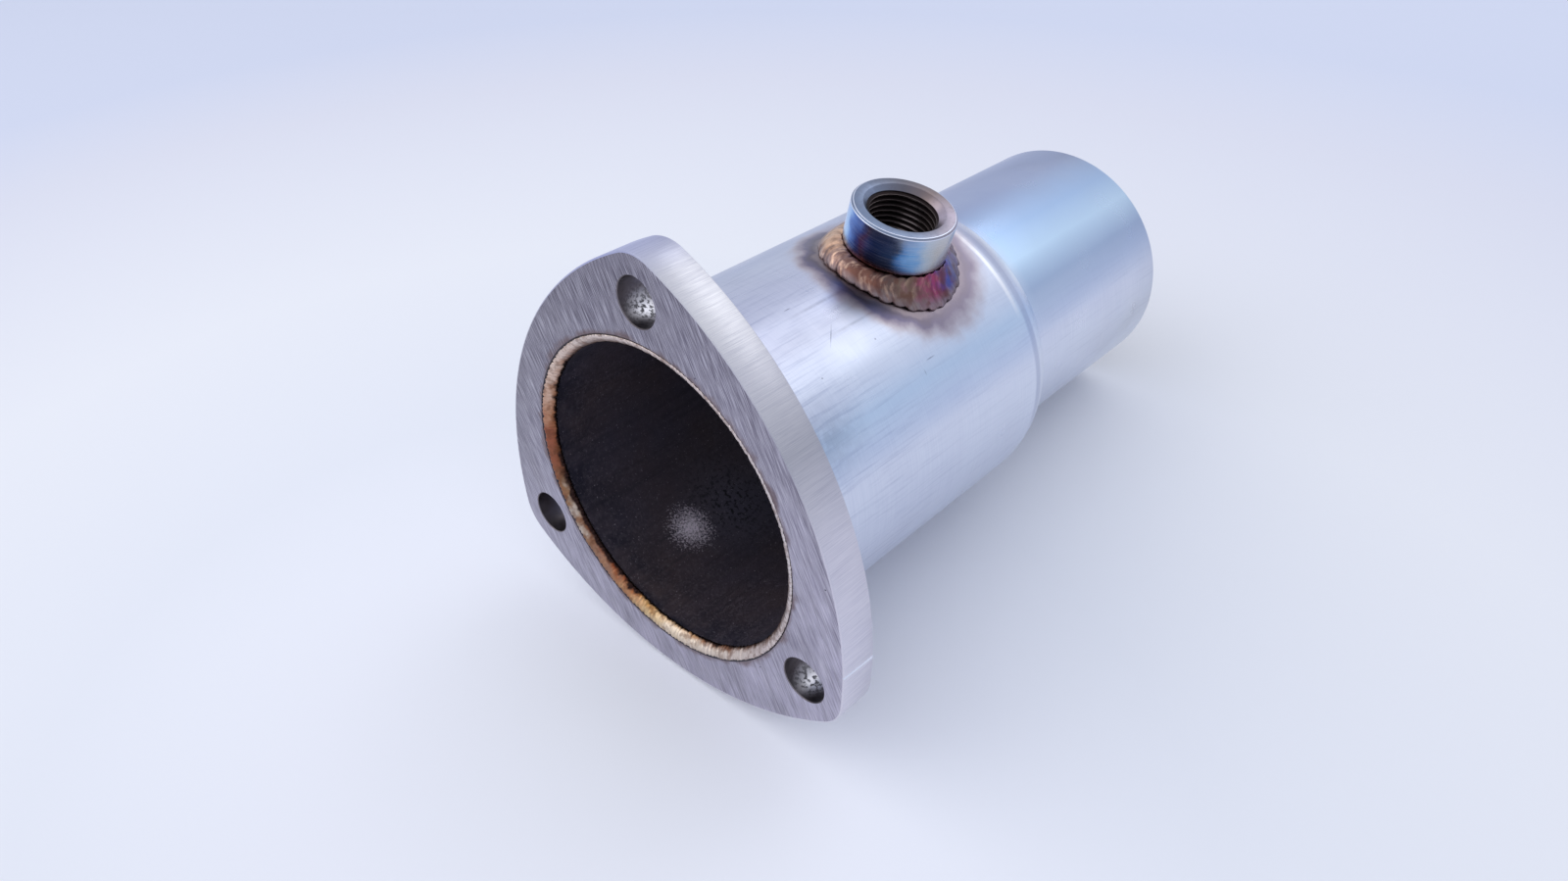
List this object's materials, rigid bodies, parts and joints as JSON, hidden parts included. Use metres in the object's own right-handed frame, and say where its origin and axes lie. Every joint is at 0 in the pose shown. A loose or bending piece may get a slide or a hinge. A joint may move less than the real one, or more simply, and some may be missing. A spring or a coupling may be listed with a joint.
{
  "type": "exhaust collector adapter",
  "caption": "Bolt-on exhaust collector adapter: a rounded-triangle flange welded to a stepped-down steel tube that carries a welded sensor bung.",
  "frame": {"origin": "centre of the flange's mating face, on the tube's axis", "axes": "+Y along the tube from the flange to the outlet, +Z through the flange's top bolt hole, +X to the right seen from the mating face"},
  "size_m": [0.1124, 0.1708, 0.1141],
  "materials": {
    "flange_plate": "coarsely sanded laser-cut plate",
    "body_tube": "satin drawn tube",
    "sensor_bung": "turned and heat-tinted",
    "flange_weld": "rippled weld bead, straw to brown",
    "bung_weld": "rippled weld bead, copper to purple"
  },
  "bodies": {
    "root": {"flange_plate": "flange_plate", "body_tube": "body_tube", "sensor_bung": "sensor_bung", "flange_weld": "flange_weld", "bung_weld": "bung_weld"}
  },
  "joints": []
}
